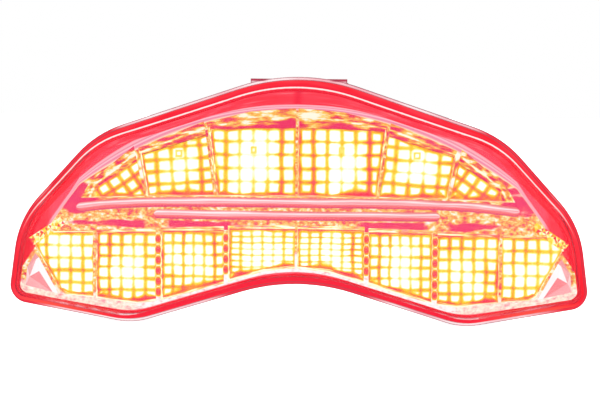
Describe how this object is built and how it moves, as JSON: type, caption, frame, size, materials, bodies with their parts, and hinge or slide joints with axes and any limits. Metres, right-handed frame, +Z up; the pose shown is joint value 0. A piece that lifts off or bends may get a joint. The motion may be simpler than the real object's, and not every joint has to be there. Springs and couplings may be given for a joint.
{
  "type": "motorcycle tail light",
  "caption": "Crescent-shaped integrated LED tail light with a clear-red bowl lens, mirrored pillow-optic cells in two rows, a black rear tray and rear studs.",
  "frame": {"origin": "midway between the two rear studs, on the plane that their rubber pads seat on", "axes": "+X to the right seen from the lit face, +Y out of the back along the studs, +Z up; the lit face points along -Y"},
  "size_m": [0.2808, 0.08, 0.1198],
  "materials": {
    "lens_red": "polished acrylic, red at the rim and flushed clear at the face",
    "seal": "black butyl bead",
    "housing_black": "fine spark texture",
    "bezel_mirror": "vacuum metallised",
    "optic_lit": "pillowed, lit from behind",
    "trim_bar": "metallised satin",
    "board": "green solder mask",
    "led": "cast epoxy dome",
    "electronic_black": "moulded epoxy",
    "connector_white": "nylon",
    "fastener_zinc": "clear zinc plate",
    "spacer_brass": "turned",
    "capacitor_can": "drawn can",
    "rubber_black": "moulded",
    "membrane_white": "porous film"
  },
  "bodies": {
    "root": {"bezel_screws": "fastener_zinc", "board_spacers": "spacer_brass", "boss_pads": "rubber_black", "control_board": "board", "control_board_screws": "fastener_zinc", "control_board_spacers": "spacer_brass", "controller_chip": "electronic_black", "driver_transistors": "electronic_black", "harness_grommet": "rubber_black", "harness_socket": "connector_white", "housing": "housing_black", "input_diode": "electronic_black", "led_board_screws": "fastener_zinc", "led_resistors": "electronic_black", "lens": "lens_red", "lens_seal": "seal", "lower_led_board": "board", "lower_leds": "led", "lower_link_header": "connector_white", "lower_optic_1": "optic_lit", "lower_optic_2": "optic_lit", "lower_optic_3": "optic_lit", "lower_optic_4": "optic_lit", "lower_optic_5": "optic_lit", "lower_optic_6": "optic_lit", "lower_optic_7": "optic_lit", "lower_optic_8": "optic_lit", "lower_trim_bar": "trim_bar", "mounting_stud_left": "fastener_zinc", "mounting_stud_right": "fastener_zinc", "rear_screws": "fastener_zinc", "reflector_bezel": "bezel_mirror", "shelf_grommets": "rubber_black", "shelf_sleeves": "fastener_zinc", "smoothing_capacitor": "capacitor_can", "upper_led_board": "board", "upper_leds": "led", "upper_link_header": "connector_white", "upper_optic_1": "optic_lit", "upper_optic_2": "optic_lit", "upper_optic_3": "optic_lit", "upper_optic_4": "optic_lit", "upper_optic_5": "optic_lit", "upper_optic_6": "optic_lit", "upper_trim_bar": "trim_bar", "vent_cap": "housing_black", "vent_membrane": "membrane_white"}
  },
  "joints": []
}
